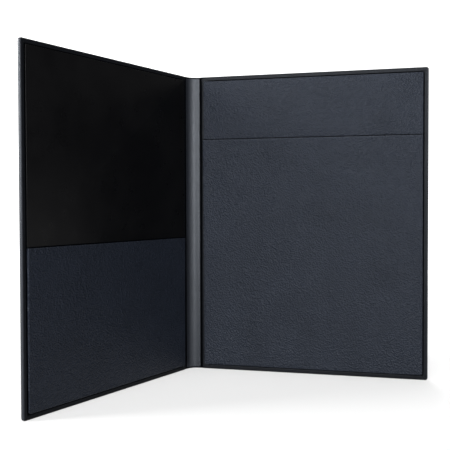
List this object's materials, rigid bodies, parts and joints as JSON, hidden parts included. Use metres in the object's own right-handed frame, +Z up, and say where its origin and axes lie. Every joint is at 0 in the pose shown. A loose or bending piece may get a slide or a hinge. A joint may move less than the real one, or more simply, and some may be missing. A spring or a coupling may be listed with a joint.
{
  "type": "padfolio",
  "caption": "Hard-cover padfolio in black leatherette, open on its tail edges, with a document pocket in the front cover and a pad pocket in the back cover.",
  "frame": {"origin": "bottom centre of the outer box, on the surface that the open folder stands on", "axes": "+X from the front cover's side to the back cover's side, +Y from the open side to the spine, +Z up along the spine"},
  "size_m": [0.4046, 0.1504, 0.3175],
  "materials": {
    "leatherette": "black leatherette, satin, fine pebble grain",
    "grained_lining": "charcoal leatherette, satin, fine pebble grain",
    "smooth_lining": "smooth black film on card",
    "greyboard": "unfinished greyboard"
  },
  "bodies": {
    "back_cover": {"back_board": "greyboard", "back_wrap": "leatherette", "back_hinge_lining": "leatherette", "back_liner": "grained_lining", "pad_pocket": "grained_lining"},
    "spine": {"spine_stiffener": "greyboard", "spine_wrap": "leatherette", "spine_lining": "leatherette"},
    "front_cover": {"front_board": "greyboard", "front_wrap": "leatherette", "front_hinge_lining": "leatherette", "front_liner": "smooth_lining", "document_pocket": "grained_lining"}
  },
  "joints": [
    {"name": "back_hinge", "type": "hinge", "parent": "back_cover", "child": "spine", "pos_m": [0.00675, 0.07146, 0], "axis": [0, 0, 1], "range_deg": [-37, 53]},
    {"name": "front_hinge", "type": "hinge", "parent": "spine", "child": "front_cover", "pos_m": [-0.00675, 0.07146, 0], "axis": [0, 0, 1], "range_deg": [-37, 53]}
  ]
}
